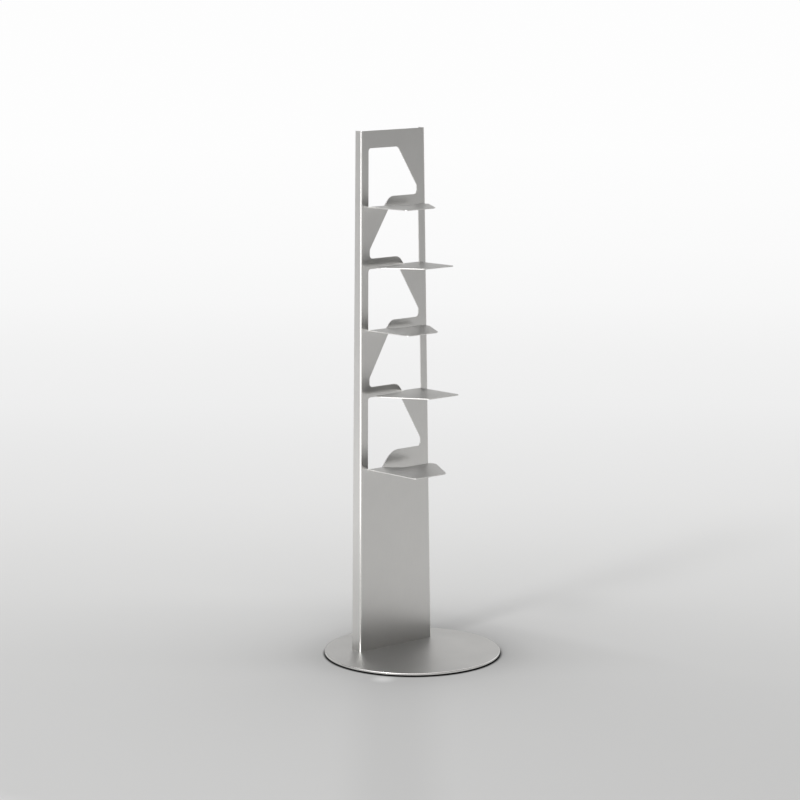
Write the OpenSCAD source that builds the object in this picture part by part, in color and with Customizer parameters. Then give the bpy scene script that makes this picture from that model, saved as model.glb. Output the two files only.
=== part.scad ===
// Free-standing metal bookcase: one tall folded sheet standing on a round foot.
// The sheet is a shallow channel, open at the back and narrower at the top. Each window in
// its front panel is cut on all sides but one, and the piece of sheet inside it is folded
// forward about that side to make a shelf. The folds lie left and right by turns.
// The front faces -Y, +Z is up, and the origin is the centre of the foot at floor level.

/* [Column] */
// Height of the folded sheet above the foot
column_h = 1770; // [1650:5:1900]
// Width of the front panel at the foot
foot_w = 318; // [290:1:360]
// Width of the front panel at the top
top_w = 275; // [250:1:318]
// Depth of the side flanges at the foot
foot_flange = 45; // [36:1:70]
// Depth of the side flanges at the top, where the panel has leaned back
top_flange = 30; // [20:1:36]
// Thickness of the sheet
sheet = 3; // [2:0.5:4]
// Inside radius of every fold
fold_r = 2; // [1:0.5:4]
// Distance from the centre of the foot back to the front panel
set_back = 86; // [40:1:120]

/* [Shelves] */
// Rise from the lowest shelf to the second
rise_1 = 254; // [220:1:270]
// Rise from the second shelf to the third
rise_2 = 220; // [190:1:235]
// Rise from the third shelf to the fourth
rise_3 = 214; // [190:1:230]
// Rise from the fourth shelf to the top shelf
rise_4 = 200; // [180:1:215]
// Rise from the top shelf to the upper edge of its window
rise_5 = 194; // [175:1:205]
// Width of the fold that carries the lowest shelf
fold_w_1 = 64; // [50:1:92]
// Width of the fold that carries the second shelf
fold_w_2 = 84; // [50:1:92]
// Width of the fold that carries the third shelf
fold_w_3 = 80; // [50:1:92]
// Width of the fold that carries the fourth shelf
fold_w_4 = 69; // [50:1:92]
// Width of the fold that carries the top shelf
fold_w_5 = 70; // [50:1:92]
// Slit at each end of a fold
slit = 2; // [1:0.5:4]
// Angle by which a fold stops short of square, so that the shelf tips up
shelf_tip = 0.8; // [0:0.1:3]
// Strip cut off the free edge of a shelf
shelf_trim = 5; // [0:1:15]

/* [Windows] */
// Panel left above the top window
top_band = 58; // [40:1:80]
// Height of the panel left between a shelf's fold and the window below it
bridge_h = 4; // [3:1:10]
// Panel left beside the straight edge of a window
strip_w = 32; // [24:1:44]
// Panel left beside the lower end of a slanted edge
slant_side = 38; // [28:1:50]
// Distance of a slanted edge's upper end from the centre line
slant_top = 20; // [5:1:40]
// Height of a slanted edge's lower end above the upstand
slant_rise = 30; // [24:1:45]
// Height of the upstand behind the three middle shelves
upstand = 26; // [20:1:40]
// Height of the upstand behind the lowest shelf
lowest_upstand = 53; // [34:1:60]
// Height of the upstand behind the top shelf
top_upstand = 30; // [20:1:40]
// Slope of an upstand's free end
upstand_slope = 53; // [45:1:65]
// Radius of a window's square corner
square_r = 10; // [4:1:16]
// Radius where the top edge meets the slanted edge
slant_r = 18; // [6:1:30]
// Radius at the lower end of a slanted edge
belly_r = 20; // [6:1:40]
// Radius where the window meets the upstand
toe_r = 12; // [4:1:14]
// Radius of an upstand's free corner
upstand_r = 32; // [6:1:45]
// Radius of the lowest upstand's free corner
lowest_upstand_r = 64; // [10:1:75]

/* [Foot] */
// Diameter of the round foot
foot_d = 600; // [500:5:700]
// Thickness of the round foot
foot_t = 8; // [6:1:12]
// Bevel round the edges of the foot
foot_bevel = 0.6; // [0.3:0.1:1.5]
// Diameter of a glide pad
pad_d = 40; // [25:1:60]
// Thickness of a glide pad
pad_t = 4; // [2:0.5:8]
// Number of glide pads
pads = 6; // [4:1:8]
// Distance from a pad's edge to the rim of the foot
pad_inset = 18; // [8:1:40]

/* [Fixing] */
// Thickness of the foot plate that closes the column's lower end
plate_t = 8; // [6:1:12]
// Gap between the foot plate and the sheet round it
plate_gap = 0.3; // [0.2:0.1:0.5]
// Distance of the foot plate's rear edge from the rear of the flanges
plate_rear = 2; // [0:0.5:5]
// Bevel on the foot plate's front corners, clear of the inside folds
plate_corner = 5; // [4:0.5:10]
// Number of screws
screws = 4; // [2:1:5]
// Distance from an outer screw to the end of the foot plate
screw_end = 30; // [20:1:50]
// Diameter of a screw's thread
screw_d = 8; // [6:1:10]
// Diameter of a screw's countersunk head
head_d = 16; // [12:1:18]
// Size of the screw's hexagon socket across its flats
socket_af = 5; // [4:1:6]
// Depth of the hexagon socket
socket_depth = 3; // [2:0.5:4]
// Gap round a screw in the foot
screw_gap = 0.5; // [0.3:0.1:1]
// Gap round a screw in the tapped foot plate
thread_gap = 0.1; // [0.1:0.05:0.2]
// Distance of a screw's end below the top of the foot plate
screw_short = 1; // [0:0.5:2]

/* [Hidden] */
$fn = 96;

STEEL = [0.66, 0.66, 0.65];
ZINC = [0.55, 0.56, 0.58];
RUBBER = [0.12, 0.12, 0.12];

// A fold's outside radius is also the length of sheet that the fold uses up
fold_out = fold_r + sheet;
// The rear edges of the flanges are plumb, so the panel leans back by their difference
lean = atan((foot_flange - top_flange) / column_h);
// The sides draw in evenly from the foot to the top
side_angle = atan((foot_w - top_w) / 2 / column_h);
foot_top = pad_t + foot_t;
// Extra length that the level cuts at both ends of the leaning sheet take off
trim = 10;
// Length by which a fold's straight ends run into the sheet beside it
lap = 1;
arc_steps = 8;

// Shelf heights above the foot, counted down from the column's top, the lowest shelf first.
// A shorter or taller column only changes the length of panel under the lowest shelf.
level_5 = column_h - top_band - rise_5;
level_4 = level_5 - rise_4;
level_3 = level_4 - rise_3;
level_2 = level_3 - rise_2;
level_1 = level_2 - rise_1;
levels = [level_1, level_2, level_3, level_4, level_5];
fold_widths = [fold_w_1, fold_w_2, fold_w_3, fold_w_4, fold_w_5];
last = len(levels) - 1;
// Upper edge of the window over shelf i
function window_top(i) =
    i == last ? column_h - top_band : levels[i + 1] - fold_out - bridge_h;
function upstand_of(i) = i == 0 ? lowest_upstand : i == last ? top_upstand : upstand;

// Half the width of the front panel at a height on it
function half_w(z) = foot_w / 2 - (foot_w - top_w) / 2 * z / column_h;

// The foot plate, from its end to its middle and from its front to its rear edge
plate_half = half_w(plate_t) - sheet / cos(side_angle) - plate_gap;
plate_front = set_back + sheet + plate_t * tan(lean) + plate_gap;
plate_back = set_back + foot_flange - plate_rear;
// The screws stand in a row along the middle of the foot plate
screw_y = (plate_front + plate_back) / 2;
screw_row = 2 * (plate_half - screw_end);
// The sides of a countersunk head slope at 45 degrees
head_t = (head_d - screw_d) / 2;

function unit(v) = v / norm(v);

// Points of the arc that rounds corner p, between the edges to a and to b
function corner_arc(a, p, b, r) =
    let (
        u = unit(a - p),
        v = unit(b - p),
        half = acos(u * v) / 2,
        centre = p + unit(u + v) * r / sin(half),
        from = p + u * r / tan(half) - centre,
        to = p + v * r / tan(half) - centre,
        turn = 180 - 2 * half,
        way = from.x * to.y - from.y * to.x > 0 ? 1 : -1
    )
    [for (k = [0 : arc_steps])
        let (t = way * turn * k / arc_steps)
        centre + [from.x * cos(t) - from.y * sin(t), from.x * sin(t) + from.y * cos(t)]];

// An outline with each corner rounded by its own radius, where 0 keeps it sharp
function rounded(points, radii) =
    let (n = len(points))
    [for (i = [0 : n - 1])
        each radii[i] == 0
            ? [points[i]]
            : corner_arc(points[(i + n - 1) % n], points[i], points[(i + 1) % n], radii[i])];

// Edge of window i or of the shelf cut from it, on the panel and with the fold on the left.
// The fold starts at height low, clear is the slit at each end of the fold, and trim is the
// strip cut off the free edge.
function edge_of(i, low, clear, trim) =
    let (
        top = window_top(i) - trim,
        lip = levels[i] + upstand_of(i),
        belly = lip + slant_rise,
        far = half_w(belly) - slant_side,
        slant = slant_top + (far - slant_top) * trim / (top + trim - belly),
        fold_end = strip_w - half_w(levels[i]) + fold_widths[i] - clear
    )
    rounded(
        [
            [strip_w - half_w(levels[i]) + clear, low],
            [strip_w - half_w(top) + clear, top],
            [slant, top],
            [far, belly],
            [half_w(lip) - slant_side, lip],
            [fold_end + upstand_of(i) / tan(upstand_slope), lip],
            [fold_end, levels[i]],
            [fold_end, low]
        ],
        [0, square_r, slant_r, belly_r, toe_r, i == 0 ? lowest_upstand_r : upstand_r, 0, 0]
    );

// Sideways outline of a shelf with its fold: a short straight end, a ring about the fold's
// centre over the angle turn, and a flat as long as reach
function bent_sheet(turn, reach) =
    let (
        arc = [for (k = [0 : arc_steps]) [cos(turn * k / arc_steps), sin(turn * k / arc_steps)]],
        flat = reach * [-sin(turn), cos(turn)]
    )
    [
        [fold_r, -lap],
        [fold_out, -lap],
        for (k = [0 : arc_steps]) fold_out * arc[k],
        fold_out * arc[arc_steps] + flat,
        fold_r * arc[arc_steps] + flat,
        for (k = [arc_steps : -1 : 0]) fold_r * arc[k]
    ];

// Square fold: a quarter ring about the fold's centre, with straight ends
module fold_section() {
    intersection() {
        difference() {
            circle(fold_out);
            circle(fold_r);
        }
        square(2 * fold_out);
    }
    translate([-lap, fold_r])
        square([lap, sheet]);
    translate([fold_r, -lap])
        square([sheet, lap]);
}

// The front panel between its two long folds, with the windows cut out
module panel() {
    fold_edge = fold_out / cos(side_angle);
    rotate([90, 0, 0])
        translate([0, 0, -sheet])
            linear_extrude(sheet)
                difference() {
                    polygon([
                        [-half_w(-trim) + fold_edge, -trim],
                        [half_w(-trim) - fold_edge, -trim],
                        [half_w(column_h + trim) - fold_edge, column_h + trim],
                        [-half_w(column_h + trim) + fold_edge, column_h + trim]
                    ]);
                    for (i = [0 : last])
                        on_fold_side(i)
                            polygon(edge_of(i, levels[i] - fold_out, 0, 0));
                }
}

// Turns what is drawn with its fold on the left to the side where fold i lies
module on_fold_side(i) {
    if (i % 2 == 0)
        children();
    else
        mirror([1, 0, 0])
            children();
}

// The long fold and the flange along the right side of the panel
module flange() {
    translate([half_w(-trim), 0, -trim])
        rotate([0, -side_angle, 0])
            linear_extrude(column_h + 3 * trim) {
                translate([-fold_out, fold_out])
                    mirror([0, 1])
                        fold_section();
                translate([-sheet, fold_out])
                    square([sheet, foot_flange + trim]);
            }
}

// A shelf with the fold that joins it to the panel, drawn about the fold's centre: a folded
// strip as wide as the foot of the column, trimmed square to the shelf along its outline
module shelf(i) {
    level = levels[i];
    on_fold_side(i)
        translate([0, -fold_r, level - fold_out])
            intersection() {
                rotate([90, 0, 90])
                    linear_extrude(foot_w, center = true)
                        polygon(bent_sheet(90 - shelf_tip, window_top(i) - level));
                rotate([-shelf_tip, 0, 0])
                    linear_extrude(4 * fold_out, center = true)
                        polygon([for (p = edge_of(i, level - fold_out - lap, slit, shelf_trim))
                            [p.x, level - p.y]]);
            }
}

// Puts a piece drawn against an upright panel where the leaning panel stands
module on_panel() {
    translate([0, set_back, foot_top])
        rotate([-lean, 0, 0])
            children();
}

// The folded sheet, cut level at both ends and plumb along the rear of its flanges
module column() {
    color(STEEL) {
        intersection() {
            on_panel() {
                panel();
                flange();
                mirror([1, 0, 0])
                    flange();
            }
            translate([-foot_w, set_back - trim, foot_top])
                cube([2 * foot_w, trim + foot_flange, column_h]);
        }
        on_panel()
            for (i = [0 : last])
                shelf(i);
    }
}

// Places a copy at each screw, on the underside of the foot
module at_screws() {
    for (k = [0 : screws - 1])
        translate([screw_row * (k / (screws - 1) - 0.5), screw_y, pad_t])
            children();
}

// Plate between the flanges at the lower end of the column, tapped for the screws
module foot_plate() {
    color(STEEL)
        difference() {
            translate([0, 0, foot_top])
                linear_extrude(plate_t)
                    polygon([
                        [-plate_half, plate_back],
                        [-plate_half, plate_front + plate_corner],
                        [-plate_half + plate_corner, plate_front],
                        [plate_half - plate_corner, plate_front],
                        [plate_half, plate_front + plate_corner],
                        [plate_half, plate_back]
                    ]);
            at_screws()
                cylinder(h = foot_t + plate_t + 1, d = screw_d + 2 * thread_gap);
        }
}

// The round foot, with a countersunk hole for each screw
module base_disc() {
    color(STEEL)
        difference() {
            translate([0, 0, pad_t])
                rotate_extrude($fn = 180)
                    polygon([
                        [0, 0],
                        [foot_d / 2 - foot_bevel, 0],
                        [foot_d / 2, foot_bevel],
                        [foot_d / 2, foot_t - foot_bevel],
                        [foot_d / 2 - foot_bevel, foot_t],
                        [0, foot_t]
                    ]);
            at_screws() {
                translate([0, 0, -1])
                    cylinder(h = foot_t + 2, d = screw_d + 2 * screw_gap);
                cylinder(h = head_t, d1 = head_d + 2 * screw_gap, d2 = screw_d + 2 * screw_gap);
            }
        }
}

// Countersunk screws that hold the foot plate down from below
module base_screws() {
    color(ZINC)
        at_screws()
            difference() {
                union() {
                    cylinder(h = head_t, d1 = head_d, d2 = screw_d);
                    cylinder(h = foot_t + plate_t - screw_short, d = screw_d);
                }
                translate([0, 0, -1])
                    cylinder(h = socket_depth + 1, d = socket_af / cos(30), $fn = 6);
            }
}

// Rubber pads that keep the foot off the floor
module glide_pads() {
    color(RUBBER)
        for (k = [0 : pads - 1])
            rotate([0, 0, 360 / pads * (k + 0.5)])
                translate([foot_d / 2 - pad_inset - pad_d / 2, 0, 0])
                    cylinder(h = pad_t, d = pad_d);
}

column();
foot_plate();
base_disc();
base_screws();
glide_pads();
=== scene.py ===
"""The looks of a free-standing metal bookcase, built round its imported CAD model.

The file is laid out as an add-on with a panel of sizes and finishes, and runs as a script.
The column is remade here as one folded sheet with dressed edges: every fold, flange and edge
is a ruled surface or a profile carried along a path, worked out with numpy.
"""

import math

import bmesh
import bpy
import numpy as np
from bpy.props import FloatProperty, FloatVectorProperty, IntProperty, PointerProperty
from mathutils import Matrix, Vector
from mathutils.geometry import tessellate_polygon


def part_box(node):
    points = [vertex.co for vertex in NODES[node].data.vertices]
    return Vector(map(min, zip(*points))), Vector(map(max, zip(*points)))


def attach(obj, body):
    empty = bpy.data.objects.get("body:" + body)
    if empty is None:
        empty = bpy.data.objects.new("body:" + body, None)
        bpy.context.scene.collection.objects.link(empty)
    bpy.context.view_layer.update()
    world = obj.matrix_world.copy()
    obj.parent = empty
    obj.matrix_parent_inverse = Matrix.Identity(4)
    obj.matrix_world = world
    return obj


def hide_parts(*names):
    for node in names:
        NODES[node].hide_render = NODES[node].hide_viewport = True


bl_info = {
    "name": "Metal bookcase",
    "version": (1, 0, 0),
    "blender": (4, 5, 0),
    "location": "View3D > Sidebar > Bookcase",
    "description": "Finishes a folded-sheet bookcase and its photo studio",
    "category": "Object",
}

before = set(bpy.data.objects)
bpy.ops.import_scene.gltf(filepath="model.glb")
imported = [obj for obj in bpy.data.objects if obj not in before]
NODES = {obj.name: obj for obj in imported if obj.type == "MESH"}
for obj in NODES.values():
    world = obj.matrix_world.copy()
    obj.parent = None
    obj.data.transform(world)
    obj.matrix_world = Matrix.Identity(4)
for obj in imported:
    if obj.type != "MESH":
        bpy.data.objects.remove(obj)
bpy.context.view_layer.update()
SHELVES = 5

# Places of the screws, from their box and the diameter of a screw's head
SCREW_BOX = [list(corner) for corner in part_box("base_screws")]
SCREW_HEAD = 0.016
SCREW_ROW = SCREW_BOX[1][0] - SCREW_BOX[0][0] - SCREW_HEAD
SCREW_Y = (SCREW_BOX[0][1] + SCREW_BOX[1][1]) / 2

# Into how many steps each kind of curve is divided
CORNER_STEPS = 12
CUT_EDGE_STEPS = 4
SHELF_FOLD_STEPS = 8
LONG_FOLD_STEPS = 10
RIM_STEPS = 6
FOOT_STEPS = 288
BORE_STEPS = 40

# Points nearer than this, in metres, are made one
MERGE = 2e-6
# How far the larger faces set the shading, in percent
LARGE_FACES = 100

# Width, length and depth in metres of the fine lines that a finish leaves in the steel
BRUSHED = (0.0007, 0.05, 0.00001)
MILLED = (0.05, 0.0012, 0.00002)
PLATED = (0.0004, 0.0004, 0.000006)
# How far those lines, and the faint clouds under them, shift the steel's tone and roughness
LINE_TONE, CLOUD_TONE = (0.975, 1.025), (0.985, 1.015)
LINE_BLUR, CLOUD_BLUR = (0.93, 1.07), (0.97, 1.03)
CLOUD_SIZE = 0.12
# The rubber's pits and blooms per metre, the depth of a pit in metres, and how far the dusty
# bloom shifts the tone and which roughness it gives
PITS, BLOOMS, PIT_DEPTH = 900.0, 60.0, 0.00008
BLOOM_TONE, BLOOM_BLUR = (0.8, 1.4), (0.7, 0.85)

# Each soft light's turn from the front, its rise and how far it reaches, in degrees
ROOM = {
    "main": (-78, 34, 6),
    "low_left": (-70, 5, 48),
    "low_side": (-90, 5, 32),
    "low_back": (180, 5, 40),
    "low_right": (100, 5, 40),
    "mid_left": (-90, 32, 42),
    "mid_front": (-45, 32, 42),
    "mid_right": (110, 32, 48),
    "high_left": (-90, 62, 38),
    "high_right": (90, 62, 38),
    "high_back": (180, 62, 38),
    "top": (0, 90, 34),
}

CAMERA_PLACE, CAMERA_AIM = (-5.7312, -6.7888, 2.4560), (-0.0483, 0.0079, 0.8833)
CAMERA_LENS, CAMERA_SENSOR, CAMERA_END = 120.645, 36.0, 400.0

# The level directions in which the floor's tone changes: away from the camera, to its right, and
# to the side on which the painted shade halo is weaker
BACK, RIGHT, WEAK_SIDE = (0.6415, 0.7671, 0.0), (0.7671, -0.6415, 0.0), (0.9875, 0.1520, 0.0)
FLOOR_REACH = 120.0
FLOOR_TINT = (1.0, 0.999, 0.993)
# The floor's grey at metres back from the middle of the foot: painted light that makes it lighter
# towards the back
FLOOR_TONE = (
    (-1.5, 0.637), (-0.4, 0.642), (0.0, 0.651), (0.42, 0.674), (0.87, 0.70), (1.36, 0.725),
    (1.9, 0.757), (2.5, 0.787), (3.2, 0.81), (3.9, 0.83), (4.8, 0.856), (6.5, 0.884),
    (8.6, 0.93), (11.4, 0.957), (15.0, 0.972), (20.6, 0.985),
)
# The part of the floor's tone that the painted shade halo round the foot leaves, at metres away
# from the middle of the foot
PAINTED_HALO_SHADE = (
    (0.30, 0.68), (0.35, 0.735), (0.42, 0.81), (0.5, 0.855), (0.6, 0.89), (0.7, 0.915),
    (0.9, 0.943), (1.1, 0.962), (1.4, 0.985), (1.8, 1.0),
)
# Where in metres each change over the floor starts and ends and, unless it goes from 0 to 1 or
# its ends are set elsewhere, what it goes from and to
CHANGES = {
    # painted shade: where the halo round the foot is weaker
    "halo_side": (0.42, 0.56, 1.0, 0.62),
    "halo_front": (-0.33, -0.03, 0.6, 1.0),
    "halo_back": (0.5, 0.9, 1.0, 0.3),
    # painted shade: the far floor darkened, less on the right
    "far": (2.5, 9.0),
    "far_right": (13.0, 26.0, 0.8, 0.98),
    # painted shade: the floor goes almost black under the foot's rim
    "under_foot": (0.297, 0.310, 0.05, 1.0),
    # painted reflection: the column's faint mirror image in front of the foot
    "image_side": (0.03, 0.2, 1.0, 0.0),
    "image_front": (-0.25, -0.35),
    # painted highlight: a small glint beside the rim
    "glint": (0.055, 0.0),
    # painted shade: darker towards the front, most of all on the right
    "front": (1.0, -1.6),
    "front_away": (2.2, 4.0, 1.0, 0.0),
    "front_right": (-1.3, 1.3, 0.972, 0.905),
    "white_back": (0.8, 5.0),
    "white_side": (3.0, 8.0, 1.0, 0.0),
    "pool_left": (-1.5, -2.3),
    "pool_away": (3.5, 7.0, 1.0, 0.0),
    "pool_back": (2.0, 0.8),
    "pool_front": (-2.5, -1.0),
    "bright_near": (1.87, 2.53),
    "bright_far": (25.5, 34.5, 1.0, 0.0),
}
# The column's painted reflection on the floor, a faint darker band: how far left of the middle
# it lies, and what it leaves of the tone
PAINTED_REFLECTION_LEFT, PAINTED_REFLECTION_TONE = 0.06, 0.93
# A painted highlight on the floor beside the foot, in place of the glint that the polished rim
# throws: its middle, and how much it brightens
PAINTED_GLINT_MIDDLE, PAINTED_GLINT_TONE = (-0.2833, -0.1868, 0.0), 1.36
# How fast the white part of the floor widens towards the back
WHITE_SPREAD = 0.25
# The bright floor in front: the turn of its middle, and its inner and outer reach, in degrees
BRIGHT_TURN, BRIGHT_INNER, BRIGHT_OUTER = -74, 38, 64


def length(name, description, default):
    """A size in metres."""
    return FloatProperty(
        name=name, description=description, default=default, unit="LENGTH", min=0.0, precision=4
    )


def lengths(name, description, default):
    """One size in metres for each shelf, from the lowest up, or for each corner of a window."""
    return FloatVectorProperty(
        name=name,
        description=description,
        default=default,
        size=len(default),
        unit="LENGTH",
        min=0.0,
        precision=4,
    )


def angle(name, description, degrees):
    """An angle, given in degrees."""
    return FloatProperty(
        name=name, description=description, default=math.radians(degrees), subtype="ANGLE", min=0.0
    )


def colour(name, description, default):
    """A plain colour."""
    return FloatVectorProperty(
        name=name,
        description=description,
        default=default,
        subtype="COLOR",
        size=3,
        min=0.0,
        max=1.0,
    )


def share(name, description, default):
    """A number from 0 to 1."""
    return FloatProperty(
        name=name, description=description, default=default, subtype="FACTOR", min=0.0, max=1.0
    )


def shine(name, description, default):
    """A part's painted light: how many times brighter than the plain sheet it is."""
    return FloatProperty(name=name, description=description, default=default, min=1.0, max=1.25)


def strength(name, description, default):
    """How bright a part of the room is, where 1 is white."""
    return FloatProperty(name=name, description=description, default=default, min=0.0, max=40.0)


class SheetSizes(bpy.types.PropertyGroup):
    """Sizes of the folded sheet, the same as in the part's source"""

    column_h: length("Height", "Height of the folded sheet above the foot", 1.770)
    foot_w: length("Width at the foot", "Width of the front panel at the foot", 0.318)
    top_w: length("Width at the top", "Width of the front panel at the top", 0.275)
    foot_flange: length("Flange at the foot", "Depth of the side flanges at the foot", 0.045)
    top_flange: length("Flange at the top", "Depth of the side flanges at the top", 0.030)
    sheet: length("Sheet", "Thickness of the sheet", 0.003)
    fold_r: length("Fold radius", "Inside radius of every fold", 0.002)
    set_back: length("Set-back", "Distance from the centre of the foot to the panel", 0.086)
    foot_top: length("Top of the foot", "Height of the foot's upper face", 0.012)
    slit: length("Slit", "Slit at each end of a shelf's fold", 0.002)
    bridge_h: length("Bridge", "Panel between a shelf's fold and the window below it", 0.004)
    top_band: length("Top band", "Panel left above the top window", 0.058)
    strip_w: length("Strip", "Panel beside the straight edge of a window", 0.032)
    slant_side: length("Slant side", "Panel beside the lower end of a slanted edge", 0.038)
    slant_top: length("Slant top", "Slanted edge's upper end from the centre line", 0.020)
    slant_rise: length("Slant rise", "Slanted edge's lower end above the upstand", 0.030)
    shelf_tip: angle("Shelf tip", "Angle by which a shelf's fold stops short of square", 0.8)
    trim: length("Trim", "Strip cut off the free edge of each shelf", 0.005)
    upstand_slope: angle("Upstand slope", "Slope of an upstand's free end", 53.0)
    edge_r: length("Edge rounding", "Radius of the dressed cut edges", 0.0004)
    rises: lengths(
        "Rises",
        "From each shelf to the next, and from the top shelf to its window's upper edge",
        (0.254, 0.220, 0.214, 0.200, 0.194),
    )
    fold_widths: lengths(
        "Folds", "Width of the fold that carries each shelf", (0.064, 0.084, 0.080, 0.069, 0.070)
    )
    upstands: lengths(
        "Upstands", "Height of the upstand behind each shelf", (0.053, 0.026, 0.026, 0.026, 0.030)
    )
    corners: lengths(
        "Corner radii",
        "Square, slanted, belly and toe corner of a window",
        (0.010, 0.018, 0.020, 0.012),
    )
    upstand_corners: lengths(
        "Upstand corners",
        "Radius of each upstand's free corner",
        (0.064, 0.032, 0.032, 0.032, 0.032),
    )


class FootSizes(bpy.types.PropertyGroup):
    """Sizes of the round foot"""

    foot_d: length("Foot", "Diameter of the round foot", 0.5998)
    foot_t: length("Foot thickness", "Thickness of the round foot", 0.008)
    rim_r: length("Rim rounding", "Radius of the foot's upper rim edge", 0.0018)
    under_r: length("Lower rim rounding", "Radius of the foot's lower rim edge", 0.0026)
    pad_t: length("Pad thickness", "Thickness of a glide pad under the foot", 0.004)
    screws: IntProperty(name="Screws", description="Number of screws", default=4, min=2, max=5)
    screw_row: length("Screw row", "Distance between the outer screws", SCREW_ROW)
    screw_y: length("Screw setting", "Distance of the screws behind the foot's centre", SCREW_Y)
    bore_r: length("Bore", "Radius of a screw's hole in the foot", 0.0045)
    head_r: length("Countersink", "Radius of a screw's hole at the underside", 0.0085)


class SteelFinish(bpy.types.PropertyGroup):
    """Finish of the steel and rubber pieces, with painted light on the shelves and painted
    highlights on the edges, bends and rim
    """

    colour: colour("Steel colour", "Colour of the bare steel", (0.770, 0.762, 0.744))
    zinc: colour("Screw colour", "Colour of the zinc-plated screws", (0.55, 0.56, 0.58))
    rubber: colour("Pad colour", "Colour of the glide pads", (0.035, 0.034, 0.033))
    roughness: share("Sheet roughness", "How far the folded sheet blurs what it mirrors", 0.31)
    shelf_wear: share("Shelf wear", "Roughness that use has added to the shelves", 0.07)
    # painted light: the shelves' colour is brighter than the sheet's, as their tops catch more
    # light
    painted_shelf_light: shine("Shelf shine", "How much brighter the shelves are than the sheet", 1.07)
    bend_wear: share("Bend wear", "Roughness that use has taken off the long bends", 0.11)
    foot_roughness: share("Foot roughness", "How far the round foot blurs what it mirrors", 0.40)
    rim_wear: share("Rim wear", "Roughness that polishing has taken off the foot's rim", 0.28)
    # painted highlight: the cut edges, bends and rim get a brighter colour than the sheet
    painted_edge_highlight: shine(
        "Edge shine", "How much brighter the cut edges, the bends and the rim are", 1.2
    )
    plate_roughness: share("Plate roughness", "How far the milled foot plate blurs", 0.45)
    screw_roughness: share("Screw roughness", "How far the plated screws blur", 0.3)


class StageSettings(bpy.types.PropertyGroup):
    """Strengths of the soft lights and of the floor's own glow"""

    main: strength("Main light", "Strength of the small light on the left", 27.0)
    low_left: strength("Low left", "Strength of the wide light low down on the left", 1.22)
    low_side: strength("Low left side", "Strength of the light low down at the left side", 0.92)
    low_back: strength("Low back", "Strength of the light low down behind", 0.645)
    low_right: strength("Low right", "Strength of the light low down on the right", 0.45)
    mid_left: strength("Left side", "Strength of the light on the left", 0.86)
    mid_front: strength("Front", "Strength of the light in front on the left", 1.07)
    mid_right: strength("Right side", "Strength of the wide light on the right", 0.645)
    high_left: strength("High left side", "Strength of the light high on the left", 0.44)
    high_right: strength("High right side", "Strength of the light high on the right", 0.615)
    high_back: strength("High back", "Strength of the light high behind", 0.80)
    top: strength("Top", "Strength of the light overhead", 0.65)
    front_floor: strength("Front floor", "Glow of the bright floor in front", 0.82)
    pool: strength("Floor pool", "Glow of the lighter floor on the left", 0.126)


def unit(v):
    """Vectors of length one, along the last axis."""
    return v / np.linalg.norm(v, axis=-1, keepdims=True)


def joined(*columns):
    """Columns of equal length, or single numbers, side by side."""
    return np.stack(np.broadcast_arrays(*columns), axis=-1)


def rounded(points, radii):
    """Outline with corner k turned into an arc of radius k, where 0 keeps it sharp.

    The arc's centre lies on the corner's middle line, r / sin(half the corner) from it, and the
    arc's points are the two touching radii blended by the sines of the angle between them."""
    out = []
    for k, r in enumerate(radii):
        p, a, b = points[k], points[k - 1], points[(k + 1) % len(points)]
        if r == 0:
            out.append(p[None])
            continue
        u, v = unit(a - p), unit(b - p)
        half = math.acos(u @ v) / 2
        centre = p + unit(u + v) * r / math.sin(half)
        start, end = (p + w * r / math.tan(half) - centre for w in (u, v))
        turn = math.pi - 2 * half
        t = np.linspace(0, turn, CORNER_STEPS + 1)[:, None]
        out.append(centre + (np.sin(turn - t) * start + np.sin(t) * end) / math.sin(turn))
    return np.concatenate(out)


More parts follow.
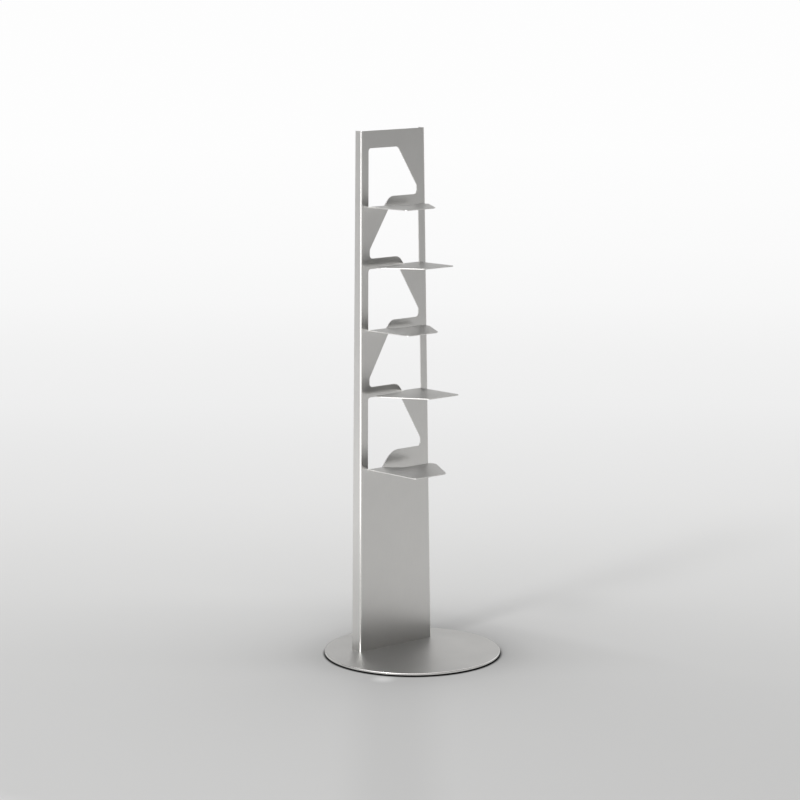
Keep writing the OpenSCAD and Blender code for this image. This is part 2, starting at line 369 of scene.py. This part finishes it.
class Shell:
    """Collects grids and flat faces into one closed mesh.

    A point is a row of three numbers, its place, or of five, with where it lies on the flat
    sheet. A face is kept as four points, of which a triangle repeats the last. It may be marked
    as part of a shelf, of a cut edge or of a long bend."""

    MARKS = ("shelf", "cut_edge", "bend")

    def __init__(self):
        self.points, self.faces, self.marks, self.count = [], [], [], 0

    def add(self, points, faces, mark):
        """Puts points in, and faces that count from the first of them."""
        self.points.append(points)
        self.faces.append(faces + self.count)
        self.marks += [mark] * len(faces)
        self.count += len(points)

    def grid(self, points, mark="", round_path=False):
        """Squares between neighbouring points of a grid, closed along its first axis if asked."""
        rows, columns = points.shape[:2]
        r = np.arange(rows if round_path else rows - 1)[:, None]
        c = np.arange(columns - 1)[None]
        near, ahead = r * columns, (r + 1) % rows * columns
        corners = (near + c, near + c + 1, ahead + c + 1, ahead + c)
        self.add(points.reshape(-1, points.shape[2]), np.stack(corners, -1).reshape(-1, 4), mark)

    def flat(self, loops, mark=""):
        """A flat face whose first loop is its outline and whose other loops are holes."""
        triangles = tessellate_polygon([[Vector(p[:3]) for p in loop] for loop in loops])
        corners = np.array(triangles)
        self.add(np.concatenate(loops), corners[:, [0, 1, 2, 2]], mark)

    def finish(self, name, place):
        """The merged object, with its points moved by place, faces outwards and shading even."""
        points, faces = np.concatenate(self.points), np.concatenate(self.faces)
        mesh = bpy.data.meshes.new(name)
        lists = [f[:3] if f[2] == f[3] else f for f in faces.tolist()]
        mesh.from_pydata(place(points[:, :3]).tolist(), [], lists)
        if points.shape[1] == 5:
            flat = mesh.attributes.new("flat_sheet", "FLOAT_VECTOR", "POINT")
            flat.data.foreach_set("vector", joined(points[:, 3], points[:, 4], 0.0).ravel())
        for mark in self.MARKS:
            marked = mesh.attributes.new(mark, "FLOAT", "FACE")
            marked.data.foreach_set("value", np.array(self.marks) == mark)
        edit = bmesh.new()
        edit.from_mesh(mesh)
        bmesh.ops.remove_doubles(edit, verts=edit.verts, dist=MERGE)
        bmesh.ops.recalc_face_normals(edit, faces=edit.faces)
        edit.to_mesh(mesh)
        edit.free()
        mesh.shade_smooth()
        piece = bpy.data.objects.new(name, mesh)
        bpy.context.scene.collection.objects.link(piece)
        even = piece.modifiers.new("even_shading", "WEIGHTED_NORMAL")
        even.weight = LARGE_FACES
        return piece


def rim(path, normals, thick, r):
    """Rounded free edge of a sheet: a profile carried along the edge's path.

    path holds the sharp edge on the sheet's front face, and normals point away from the sheet
    there. The profile starts r inside the edge on the front face, turns a quarter circle, runs
    down the edge and turns a quarter circle on to the back face. At a corner it is mitred."""
    place, flat = path[:, :3], path[:, 3:]
    ahead = unit(np.roll(place, -1, 0) - place)
    behind = np.roll(ahead, 1, 0)
    side_a, side_b = unit(np.cross(ahead, normals)), unit(np.cross(behind, normals))
    mitre = (side_a + side_b) / (1 + (side_a * side_b).sum(-1, keepdims=True))
    turn = np.linspace(0, math.pi / 2, CUT_EDGE_STEPS + 1)
    out = r * (np.sin(turn) - 1)
    deep = r * (1 - np.cos(turn))
    out, deep = np.r_[out, out[::-1]], np.r_[deep, thick - deep[::-1]]
    moved = place[:, None] + mitre[:, None] * out[:, None] - normals[:, None] * deep[:, None]
    shifted = flat[:, None] + joined(0.0, deep)[None]
    return np.concatenate([moved, shifted], -1)


class FoldedSheet:
    """The column's sheet in the leaning panel's own axes: x across, y back and z up the panel."""

    def __init__(self, s):
        """Heights of the shelves, counted down from the top band, and of the windows' tops."""
        self.s = s
        self.fold_out = s.fold_r + s.sheet
        self.lean = math.atan((s.foot_flange - s.top_flange) / s.column_h)
        top = s.column_h - s.top_band
        self.levels = top - np.cumsum(np.array(s.rises)[::-1])[::-1]
        self.tops = np.append(self.levels[1:] - self.fold_out - s.bridge_h, top)

    def half_w(self, z):
        """Half the panel's width, which falls evenly from the foot to the top."""
        s = self.s
        return s.foot_w / 2 - (s.foot_w - s.top_w) / 2 * z / s.column_h

    def outline(self, i, low, clear, trim):
        """Edge of window i, or of its shelf before folding, as points across and up the panel.

        The edge starts and ends at the height low. For a shelf, clear is the slit at each end
        of its fold and trim the strip cut off its free edge. Both are 0 for a window."""
        s, level = self.s, self.levels[i]
        top, lip = self.tops[i] - trim, level + s.upstands[i]
        belly = lip + s.slant_rise
        far = self.half_w(belly) - s.slant_side
        start = s.strip_w - self.half_w(level)
        end = start + s.fold_widths[i] - clear
        run = s.upstands[i] / math.tan(s.upstand_slope)
        points = [
            (start + clear, low),
            (s.strip_w - self.half_w(top) + clear, top),
            (s.slant_top + (far - s.slant_top) * trim / (top + trim - belly), top),
            (far, belly),
            (self.half_w(lip) - s.slant_side, lip),
            (end + run, lip),
            (end, level),
            (end, low),
        ]
        return rounded(np.array(points), (0, *s.corners, s.upstand_corners[i], 0, 0))

    def add_shelf(self, shell, i):
        """Window i's edge, its shelf and their fold, and returns the window's front and back loops.

        One path runs round the window, up the fold's right end, round the shelf and down the
        fold's left end. The fold's inner face is an arc from the panel's front face to the
        shelf's underside, and the shelf goes on straight from the arc's end."""
        s, level, r = self.s, self.levels[i], self.s.fold_r
        low = level - self.fold_out
        window = self.outline(i, low, 0.0, 0.0)
        shelf = self.outline(i, level, s.slit, s.trim)[:-1][::-1]
        turn = np.linspace(0, math.pi / 2 - s.shelf_tip, SHELF_FOLD_STEPS + 1)
        c, k = math.cos(turn[-1]), math.sin(turn[-1])
        (window_x, window_z), (shelf_x, shelf_z) = window.T, shelf[1:-1].T
        out = shelf_z - level

        def on_fold(x, a):
            """The fold's inner face at x, for the angles a."""
            flat_z = low + self.fold_out * a / turn[-1]
            place = joined(x, r * (np.cos(a) - 1), low + r * np.sin(a), x, flat_z)
            return place, joined(0.0, -np.cos(a), -np.sin(a))

        parts = [
            (
                joined(window_x, 0.0, window_z, window_x, window_z),
                joined(np.zeros(len(window)), -1.0, 0.0),
            ),
            on_fold(shelf[0, 0], turn),
            (
                joined(shelf_x, r * (c - 1) - k * out, low + r * k + c * out, shelf_x, shelf_z),
                joined(np.zeros(len(out)), -c, -k),
            ),
            on_fold(shelf[-1, 0], turn[::-1]),
        ]
        path, normals = (np.concatenate(part) for part in zip(*parts))
        edge = rim(path, normals, s.sheet, s.edge_r)
        # every second shelf is the mirror image
        if i % 2:
            edge[..., [0, 3]] *= -1
        shell.grid(edge, "cut_edge", round_path=True)
        # the path has w points round the window, n up the fold, the shelf's, and n down the fold
        w, n = len(window), len(turn)
        loops = []
        for column in (0, -1):
            face = edge[:, column]
            shell.grid(np.stack([face[w : w + n], face[-n:][::-1]], 1))
            shell.flat([face[w + n - 1 : len(face) - n + 1]], "shelf")
            loops.append(np.concatenate([face[: w + 1], face[-1:]]))
        return loops

    def profile(self, rise):
        """The sheet's outer face across the channel, at the height of a level cut.

        From the left flange's rear edge round the left fold, over the panel and back on the
        right. The fold is a quarter circle of the outside radius, along which the place on the
        flat sheet moves evenly by that radius. Also returns the normals."""
        s, out = self.s, self.fold_out
        turn = np.linspace(0, math.pi / 2, LONG_FOLD_STEPS + 1)
        rear = (s.foot_flange - rise * math.sin(self.lean)) * math.cos(self.lean)
        y = np.r_[rear, out * (1 - np.sin(turn))]
        inwards = np.r_[0.0, out * (1 - np.cos(turn))]
        z = y * math.tan(self.lean) + rise
        half = self.half_w(z)
        across = np.r_[half[0] + rear - out, half[1:] - out * turn / turn[-1]]
        left = joined(inwards - half, y, z, -across, z)
        back = np.r_[0.0, np.sin(turn)]
        normal = joined(-np.r_[1.0, np.cos(turn)], -back, -back * math.tan(self.lean))
        right, right_normal = left[::-1].copy(), normal[::-1].copy()
        right[:, [0, 3]] *= -1
        right_normal[:, 0] *= -1
        return np.concatenate([left, right]), np.concatenate([normal, right_normal])

    def build(self):
        """The whole sheet as one closed mesh.

        The free edge runs over the top and back along the foot. Its first column lies on the
        sheet's outer face and its last on the inner one. Each face is ruled from the top to the
        foot, strip by strip: the flanges, the long bends, and the panel with its windows."""
        s, shell = self.s, Shell()
        windows = [self.add_shelf(shell, i) for i in range(SHELVES)]
        foot, foot_normals = self.profile(0.0)
        top, top_normals = self.profile(s.column_h / math.cos(self.lean))
        path = np.concatenate([top[::-1], foot])
        normals = np.concatenate([top_normals[::-1], foot_normals])
        edge = rim(path, normals, s.sheet, s.edge_r)
        shell.grid(edge, "cut_edge", round_path=True)
        n = len(foot)
        half = n // 2
        flanges, bends = (slice(0, 2), slice(n - 2, n)), (slice(1, half), slice(half, n - 1))
        for side, column in enumerate((0, -1)):
            upper, lower = edge[:n, column], edge[n:, column][::-1]
            for mark, strips in (("", flanges), ("bend", bends)):
                for strip in strips:
                    shell.grid(np.stack([upper[strip], lower[strip]], 1), mark)
            panel = np.stack([upper[half - 1], upper[half], lower[half], lower[half - 1]])
            shell.flat([panel] + [loops[side] for loops in windows])
        return shell

    def place(self, points):
        """Where the leaning panel's axes stand in the part's frame."""
        s, c, k = self.s, math.cos(self.lean), math.sin(self.lean)
        x, y, z = points.T
        return joined(x, s.set_back + y * c + z * k, s.foot_top + z * c - y * k)


def foot_disc(f):
    """The round foot as one closed mesh, with a countersunk hole for each screw.

    Rim and holes are profiles turned about an upright axis: a point of a profile at radius r
    and height z goes to (r cos a, r sin a, z) about that axis for every angle a. The rim's edges
    are quarter circles of the two rounding radii."""
    shell = Shell()

    def turned(profile, centre, steps, mark=""):
        """Carries a profile once round the upright axis through the centre."""
        a = np.linspace(0, 2 * math.pi, steps, endpoint=False)[:, None]
        r, z = np.array(profile).T
        ring = joined(centre[0] + r * np.cos(a), centre[1] + r * np.sin(a), z)
        shell.grid(ring, mark, round_path=True)
        return ring

    low, high, big = f.pad_t, f.pad_t + f.foot_t, f.foot_d / 2
    over_r, under_r = f.rim_r, f.under_r
    t = np.linspace(0, math.pi / 2, RIM_STEPS + 1)
    over = joined(big - over_r + over_r * np.sin(t), high - over_r + over_r * np.cos(t))
    under = joined(big - under_r + under_r * np.sin(t), low + under_r - under_r * np.cos(t))
    profile = np.concatenate([over, under[::-1]])
    rim_ring = turned(profile, (0.0, 0.0), FOOT_STEPS, "cut_edge")
    hole = [(f.bore_r, high), (f.bore_r, low + f.head_r - f.bore_r), (f.head_r, low)]
    row = np.linspace(-0.5, 0.5, f.screws) * f.screw_row
    rings = [turned(hole, (x, f.screw_y), BORE_STEPS) for x in row]
    for column in (0, -1):
        shell.flat([rim_ring[:, column]] + [ring[:, column] for ring in rings])
    return shell


def node(tree, kind, sockets=None, **settings):
    """A new node, whose sockets are set to plain values or joined to other nodes' outputs."""
    made = tree.nodes.new("ShaderNode" + kind)
    for name, value in settings.items():
        setattr(made, name, value)
    for name, value in (sockets or {}).items():
        if isinstance(value, bpy.types.NodeSocket):
            tree.links.new(value, made.inputs[name])
        else:
            made.inputs[name].default_value = value
    return made


def ease(tree, value, start, end, low=0.0, high=1.0):
    """Goes smoothly from low to high while the value goes from start to end."""
    limits = {"From Min": start, "From Max": end, "To Min": low, "To Max": high}
    made = node(tree, "MapRange", {"Value": value, **limits}, interpolation_type="SMOOTHSTEP")
    return made.outputs["Result"]


def dot(tree, vector, direction):
    """How far a vector reaches in a direction."""
    made = node(tree, "VectorMath", {0: vector, 1: direction}, operation="DOT_PRODUCT")
    return made.outputs["Value"]


def blend(tree, factor, a, b):
    """Goes from number a to number b by a factor."""
    return node(tree, "Mix", {0: factor, 2: a, 3: b}).outputs[0]


def product(tree, first, *others):
    """Numbers multiplied together."""
    for other in others:
        first = node(tree, "Math", {0: first, 1: other}, operation="MULTIPLY").outputs[0]
    return first


def plus(tree, a, b):
    """One number and another."""
    return node(tree, "Math", {0: a, 1: b}).outputs[0]


def size_of(tree, number):
    """A number without its sign."""
    return node(tree, "Math", {0: number}, operation="ABSOLUTE").outputs[0]


def scaled(tree, colour, factor):
    """A colour times a number."""
    return node(tree, "VectorMath", {0: colour, "Scale": factor}, operation="SCALE").outputs[0]


def ramp(tree, value, stops):
    """Greys joined by straight lines, given as (value, grey)."""
    first, last = stops[0][0], stops[-1][0]
    part = node(tree, "MapRange", {"Value": value, "From Min": first, "From Max": last})
    made = node(tree, "ValToRGB", {"Fac": part.outputs["Result"]})
    elements = made.color_ramp.elements
    while len(elements) < len(stops):
        elements.new(0.5)
    for element, (position, grey) in zip(elements, stops):
        element.position = (position - first) / (last - first)
        element.color = (grey, grey, grey, 1.0)
    return made.outputs["Color"]


def level_direction(turn, rise=0.0):
    """Direction at an angle round from the front, towards +X, and an angle above the level."""
    t, e = math.radians(turn), math.radians(rise)
    return Vector((math.sin(t) * math.cos(e), -math.cos(t) * math.cos(e), math.sin(e)))


def effect(name, inputs, outputs):
    """An empty shader group with its named inputs, given with their defaults, and outputs."""
    tree = bpy.data.node_groups.new(name, "ShaderNodeTree")
    for socket, default in inputs.items():
        kind = "NodeSocketFloat" if isinstance(default, float) else "NodeSocketVector"
        made = tree.interface.new_socket(socket, in_out="INPUT", socket_type=kind)
        made.default_value = default
    for socket in outputs:
        tree.interface.new_socket(socket, in_out="OUTPUT", socket_type="NodeSocketFloat")
    return tree, tree.nodes.new("NodeGroupInput").outputs, tree.nodes.new("NodeGroupOutput").inputs


def brushed_grain():
    """Fine lines of uneven length along the vector's second axis, over faint clouds.

    The vector is squeezed by line width and line length, and a noise of it gives the lines."""
    if "brushed_grain" in bpy.data.node_groups:
        return bpy.data.node_groups["brushed_grain"]
    inputs = {
        "Vector": (0.0, 0.0, 0.0),
        "Line width": BRUSHED[0],
        "Line length": BRUSHED[1],
        "Cloud size": CLOUD_SIZE,
    }
    tree, given, put = effect("brushed_grain", inputs, ("Lines", "Clouds"))
    where, wide = given["Vector"], given["Line width"]
    size = node(tree, "CombineXYZ", {0: wide, 1: given["Line length"], 2: wide}).outputs[0]
    squeezed = node(tree, "VectorMath", {0: where, 1: size}, operation="DIVIDE").outputs[0]
    fine = {"Scale": 1.0, "Detail": 3.0, "Roughness": 0.6}
    lines = node(tree, "TexNoise", {"Vector": squeezed, **fine})
    per_metre = node(tree, "Math", {0: 1.0, 1: given["Cloud size"]}, operation="DIVIDE").outputs[0]
    clouds = node(tree, "TexNoise", {"Vector": where, "Scale": per_metre, "Detail": 2.0})
    tree.links.new(lines.outputs["Fac"], put["Lines"])
    tree.links.new(clouds.outputs["Fac"], put["Clouds"])
    return tree


def spread(tree, value, low, high):
    """Carries a noise, which mostly stays between 0.3 and 0.7, to a range from low to high."""
    limits = {"From Min": 0.3, "From Max": 0.7, "To Min": low, "To Max": high}
    return node(tree, "MapRange", {"Value": value, **limits}).outputs["Result"]


def steel(name, colour, roughness, where, finish=BRUSHED, marks=None):
    """Steel with fine lines: where gives the place that they follow.

    Lines and clouds shift the colour by a few hundredths and the roughness by a few more. Marks
    change either on part of a piece: mark: (times colour, added roughness), where times colour
    paints light or a highlight there."""
    material = bpy.data.materials.new(name)
    material.use_nodes = True
    tree = material.node_tree
    shader = tree.nodes["Principled BSDF"]
    shader.inputs["Metallic"].default_value = 1.0
    wide, long_, depth = finish
    grain = node(tree, "Group", node_tree=brushed_grain())
    tree.links.new(where(tree), grain.inputs["Vector"])
    grain.inputs["Line width"].default_value = wide
    grain.inputs["Line length"].default_value = long_
    lines, clouds = grain.outputs["Lines"], grain.outputs["Clouds"]
    shade = product(tree, spread(tree, lines, *LINE_TONE), spread(tree, clouds, *CLOUD_TONE))
    least, most = (roughness * part for part in CLOUD_BLUR)
    rough = product(tree, spread(tree, lines, *LINE_BLUR), spread(tree, clouds, least, most))
    # a mark's times colour paints light or a highlight on its part of the piece
    for mark, (times, more) in (marks or {}).items():
        there = node(tree, "Attribute", attribute_name=mark).outputs["Fac"]
        shade = product(tree, shade, blend(tree, there, 1.0, times))
        rough = plus(tree, rough, product(tree, there, more))
    base = node(tree, "RGB")
    base.outputs[0].default_value = (*colour, 1.0)
    tree.links.new(scaled(tree, base.outputs[0], shade), shader.inputs["Base Color"])
    tree.links.new(rough, shader.inputs["Roughness"])
    bump = node(tree, "Bump", {"Height": lines, "Distance": depth, "Strength": 1.0})
    tree.links.new(bump.outputs["Normal"], shader.inputs["Normal"])
    return material


def rubber(name, colour):
    """Dull moulded rubber, with fine pits and a dusty bloom."""
    material = bpy.data.materials.new(name)
    material.use_nodes = True
    tree = material.node_tree
    shader = tree.nodes["Principled BSDF"]
    where = node(tree, "TexCoord").outputs["Object"]
    pits = node(tree, "TexNoise", {"Vector": where, "Scale": PITS, "Detail": 3.0}).outputs["Fac"]
    bloom = node(tree, "TexNoise", {"Vector": where, "Scale": BLOOMS, "Detail": 4.0}).outputs["Fac"]
    base = node(tree, "RGB")
    base.outputs[0].default_value = (*colour, 1.0)
    dusty = scaled(tree, base.outputs[0], spread(tree, bloom, *BLOOM_TONE))
    tree.links.new(dusty, shader.inputs["Base Color"])
    tree.links.new(spread(tree, bloom, *BLOOM_BLUR), shader.inputs["Roughness"])
    bump = node(tree, "Bump", {"Height": pits, "Distance": PIT_DEPTH})
    tree.links.new(bump.outputs["Normal"], shader.inputs["Normal"])
    return material


def on_flat_sheet(tree):
    """Where a point lies on the sheet before folding, so the grain follows every fold."""
    return node(tree, "Attribute", attribute_name="flat_sheet").outputs["Vector"]


def on_object(tree):
    """Plain place on the piece."""
    return node(tree, "TexCoord").outputs["Object"]


def dress(name, material):
    """Puts a material on a CAD node."""
    for slot in NODES[name].material_slots:
        slot.material = material


class BOOKCASE_OT_sheet(bpy.types.Operator):
    """Fold the column from its sheet, with its windows, shelves and dressed edges"""

    bl_idname = "bookcase.sheet"
    bl_label = "Folded sheet"

    def execute(self, context):
        sheet = FoldedSheet(context.scene.bookcase_sheet)
        piece = sheet.build().finish("folded_column", sheet.place)
        s = context.scene.bookcase_steel
        # brighter colour on shelves, edges and bends is painted light and highlight; wear is
        # roughness
        marks = {
            "shelf": (s.painted_shelf_light, s.shelf_wear),
            "cut_edge": (s.painted_edge_highlight, 0.0),
            "bend": (s.painted_edge_highlight, -s.bend_wear),
        }
        piece.data.materials.append(
            steel("satin_sheet", s.colour, s.roughness, on_flat_sheet, marks=marks)
        )
        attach(piece, "root")
        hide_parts("column")
        return {"FINISHED"}


class BOOKCASE_OT_foot(bpy.types.Operator):
    """Turn the round foot with its rounded rim and its screw holes"""

    bl_idname = "bookcase.foot"
    bl_label = "Round foot"

    def execute(self, context):
        f, s = context.scene.bookcase_foot, context.scene.bookcase_steel
        piece = foot_disc(f).finish("round_foot", lambda points: points)
        # painted highlight on the rim: a brighter colour, with less roughness
        marks = {"cut_edge": (s.painted_edge_highlight, -s.rim_wear)}
        piece.data.materials.append(
            steel("satin_foot", s.colour, s.foot_roughness, on_object, marks=marks)
        )
        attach(piece, "root")
        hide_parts("base_disc")
        return {"FINISHED"}


class BOOKCASE_OT_fixings(bpy.types.Operator):
    """Finish the foot plate, the screws and the glide pads"""

    bl_idname = "bookcase.fixings"
    bl_label = "Fixings"

    def execute(self, context):
        s = context.scene.bookcase_steel
        plate = steel("milled_plate", s.colour, s.plate_roughness, on_object, MILLED)
        screw = steel("zinc_screw", s.zinc, s.screw_roughness, on_object, PLATED)
        dress("foot_plate", plate)
        dress("base_screws", screw)
        dress("glide_pads", rubber("pad_rubber", s.rubber))
        return {"FINISHED"}


class BOOKCASE_OT_stage(bpy.types.Operator):
    """Set up the camera, the floor and the soft lights"""

    bl_idname = "bookcase.stage"
    bl_label = "Stage"

    def floor_shade(self, tree, change, where, away, back, right):
        """The factor that paints shade and light into the floor's tone: a halo and dark round and
        under the foot, a faint reflection, a glint and the slow fades.
        """
        # painted shade: a soft halo round the foot, weaker in front, behind and on the right
        weight = product(
            tree,
            change("halo_side", dot(tree, where, WEAK_SIDE)),
            change("halo_front", back),
            change("halo_back", back),
        )
        painted_halo = blend(tree, weight, 1.0, ramp(tree, away, PAINTED_HALO_SHADE))
        # painted shade: the far floor darkened, more on the left than on the right
        far = change("far", away, 1.0, change("far_right", right))
        # painted reflection: the column's faint mirror image darkened into the floor in front of
        # the foot
        beside = size_of(tree, plus(tree, right, PAINTED_REFLECTION_LEFT))
        painted_reflection = product(tree, change("image_side", beside), change("image_front", back))
        # painted highlight: a small glint brightened into the floor beside the rim
        distance = node(tree, "VectorMath", {0: where, 1: PAINTED_GLINT_MIDDLE}, operation="DISTANCE")
        glint = change("glint", distance.outputs["Value"])
        # painted shade: a slow darkening towards the front, most of all on the right
        front = product(tree, change("front", back), change("front_away", away))
        return product(
            tree,
            # painted shade halo round the foot
            painted_halo,
            # painted shade on the far floor
            far,
            # painted shade under the foot
            change("under_foot", away),
            # painted reflection
            blend(tree, painted_reflection, 1.0, PAINTED_REFLECTION_TONE),
            # painted highlight
            blend(tree, glint, 1.0, PAINTED_GLINT_TONE),
            # painted shade towards the front
            blend(tree, front, 1.0, change("front_right", right)),
        )

    def floor_glows(self, tree, change, settings, where, away, back, right):
        """Strengths of the lighter pool on the left and of the bright floor in front.

        Both lie out of the camera's view, and the steel mirrors them."""
        pool = product(
            tree,
            change("pool_left", right),
            change("pool_away", away),
            change("pool_back", back),
            change("pool_front", back, 0.0, settings.pool),
        )
        outwards = node(tree, "VectorMath", {0: where}, operation="NORMALIZE").outputs["Vector"]
        near = dot(tree, outwards, level_direction(BRIGHT_TURN))
        outer, inner = (math.cos(math.radians(reach)) for reach in (BRIGHT_OUTER, BRIGHT_INNER))
        bright = product(
            tree,
            ease(tree, near, outer, inner, 0.0, settings.front_floor),
            change("bright_near", away),
            change("bright_far", away),
        )
        return pool, bright

    def add_floor(self, scene, settings):
        """Floor with painted shade and light in its tone, that turns white behind the bookcase,
        where it glows by itself.
        """
        mesh = bpy.data.meshes.new("floor")
        reach = FLOOR_REACH
        corners = [(-reach, -reach, 0), (reach, -reach, 0), (reach, reach, 0), (-reach, reach, 0)]
        mesh.from_pydata(corners, [], [(0, 1, 2, 3)])
        floor = bpy.data.objects.new("floor", mesh)
        scene.collection.objects.link(floor)
        material = bpy.data.materials.new("studio_floor")
        material.use_nodes = True
        tree = material.node_tree
        tree.nodes.clear()

        def change(name, value, *ends):
            """Follows one of the changes over the floor, whose ends are given here if not there."""
            return ease(tree, value, *CHANGES[name], *ends)

        where = node(tree, "TexCoord").outputs["Object"]
        away = node(tree, "VectorMath", {0: where}, operation="LENGTH").outputs["Value"]
        back, right = dot(tree, where, BACK), dot(tree, where, RIGHT)
        tone = ramp(tree, back, FLOOR_TONE)
        shade = self.floor_shade(tree, change, where, away, back, right)
        tints = {0: scaled(tree, tone, shade), 1: FLOOR_TINT}
        tinted = node(tree, "VectorMath", tints, operation="MULTIPLY").outputs[0]
        matt = node(tree, "BsdfDiffuse", {"Color": tinted}).outputs[0]
        glow = node(tree, "Emission", {"Color": tone}).outputs[0]
        # the glowing part starts behind the bookcase and widens towards the back
        beside = plus(tree, size_of(tree, right), product(tree, back, -WHITE_SPREAD))
        white = product(tree, change("white_back", back), change("white_side", beside))
        surface = node(tree, "MixShader", {0: white, 1: matt, 2: glow}).outputs[0]
        for strength in self.floor_glows(tree, change, settings, where, away, back, right):
            light = node(tree, "Emission", {"Strength": strength}).outputs[0]
            surface = node(tree, "AddShader", {0: surface, 1: light}).outputs[0]
        node(tree, "OutputMaterial", {"Surface": surface})
        mesh.materials.append(material)

    def add_room(self, scene, settings):
        """Soft lights round the bookcase, each brightest in its middle and fading to its reach."""
        world = bpy.data.worlds.new("studio")
        scene.world = world
        world.use_nodes = True
        tree = world.node_tree
        where = node(tree, "TexCoord").outputs["Generated"]
        total = 0.0
        for name, (turn, rise, reach) in ROOM.items():
            near = dot(tree, where, level_direction(turn, rise))
            edge = math.cos(math.radians(reach))
            light = ease(tree, near, edge, 1.0, 0.0, getattr(settings, name))
            total = plus(tree, total, light)
        background = tree.nodes["Background"]
        tree.links.new(total, background.inputs["Strength"])
        background.inputs["Color"].default_value = (1.0, 1.0, 1.0, 1.0)

    def add_camera(self, scene):
        """The photo's camera, turned to look from its place at its aim."""
        camera = bpy.data.objects.new("photo_camera", bpy.data.cameras.new("photo_camera"))
        scene.collection.objects.link(camera)
        place, aim = Vector(CAMERA_PLACE), Vector(CAMERA_AIM)
        camera.location = place
        camera.rotation_euler = (aim - place).to_track_quat("-Z", "Y").to_euler()
        camera.data.sensor_width = CAMERA_SENSOR
        camera.data.lens = CAMERA_LENS
        camera.data.clip_end = CAMERA_END
        scene.camera = camera

    def execute(self, context):
        scene, settings = context.scene, context.scene.bookcase_stage
        scene.view_settings.view_transform = "Standard"
        self.add_camera(scene)
        self.add_floor(scene, settings)
        self.add_room(scene, settings)
        return {"FINISHED"}


class BOOKCASE_PT_panel(bpy.types.Panel):
    """Sizes and finishes of the bookcase"""

    bl_idname = "BOOKCASE_PT_panel"
    bl_label = "Metal bookcase"
    bl_space_type = "VIEW_3D"
    bl_region_type = "UI"
    bl_category = "Bookcase"

    def draw(self, context):
        layout = self.layout
        for name, group in GROUPS.items():
            for prop in group.__annotations__:
                layout.prop(getattr(context.scene, name), prop)
        for operator in OPERATORS:
            layout.operator(operator.bl_idname)


GROUPS = {
    "bookcase_sheet": SheetSizes,
    "bookcase_foot": FootSizes,
    "bookcase_steel": SteelFinish,
    "bookcase_stage": StageSettings,
}
OPERATORS = (BOOKCASE_OT_sheet, BOOKCASE_OT_foot, BOOKCASE_OT_fixings, BOOKCASE_OT_stage)
CLASSES = (*GROUPS.values(), *OPERATORS, BOOKCASE_PT_panel)


def register():
    """Makes the classes known to Blender."""
    for cls in CLASSES:
        bpy.utils.register_class(cls)
    for name, group in GROUPS.items():
        setattr(bpy.types.Scene, name, PointerProperty(type=group))


def unregister():
    """Takes the classes out again."""
    for name in GROUPS:
        delattr(bpy.types.Scene, name)
    for cls in reversed(CLASSES):
        bpy.utils.unregister_class(cls)


def main():
    """Builds every piece in order."""
    register()
    bpy.ops.bookcase.sheet()
    bpy.ops.bookcase.foot()
    bpy.ops.bookcase.fixings()
    bpy.ops.bookcase.stage()
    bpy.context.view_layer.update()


if __name__ == "__main__":
    main()
